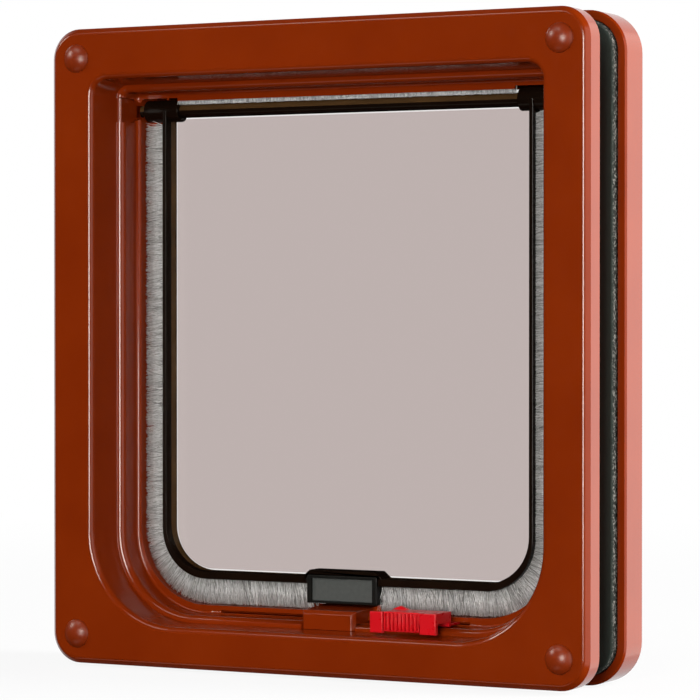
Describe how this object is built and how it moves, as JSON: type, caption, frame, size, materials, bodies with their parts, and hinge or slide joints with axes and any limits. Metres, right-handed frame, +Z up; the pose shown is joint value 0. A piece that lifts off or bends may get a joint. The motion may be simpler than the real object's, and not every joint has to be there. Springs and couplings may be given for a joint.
{
  "type": "cat flap",
  "caption": "Framed cat flap for a door: stepped frame clamped through the door, hanging clear flap with brush seals, magnet catch and a sliding lock.",
  "frame": {"origin": "middle of the frame on the door's room-side face", "axes": "+X right seen from the room, +Y out through the door, +Z up"},
  "size_m": [0.206, 0.0457, 0.222],
  "materials": {
    "brown_plastic": "gloss moulded",
    "smoke_clear": "clear, smoke tint",
    "brush_pile": "grey pile",
    "foam": "open foam",
    "red_plastic": "gloss moulded",
    "black_plastic": "satin",
    "ferrite": "matt ground",
    "screw_steel": "zinc plated"
  },
  "bodies": {
    "frame": {"inner_frame": "brown_plastic", "outer_frame": "brown_plastic", "foam_gasket": "foam", "brush_top": "brush_pile", "frame_magnet": "ferrite", "magnet_cover": "brown_plastic", "screw_caps": "brown_plastic", "clamp_screws": "screw_steel"},
    "flap": {"flap": "smoke_clear", "brush_left": "brush_pile", "brush_right": "brush_pile", "flap_magnet_holder": "black_plastic", "flap_magnet": "ferrite"},
    "lock": {"lock_slide": "red_plastic"}
  },
  "joints": [
    {"name": "flap_hinge", "type": "hinge", "parent": "frame", "child": "flap", "pos_m": [0, 0.0192, 0.0824], "axis": [1, 0, 0], "range_deg": [-90, 90], "deforming": ["brush_left", "brush_right"]},
    {"name": "lock_travel", "type": "slide", "parent": "frame", "child": "lock", "axis": [1, 0, 0], "range_m": [-0.012, 0.004]}
  ]
}
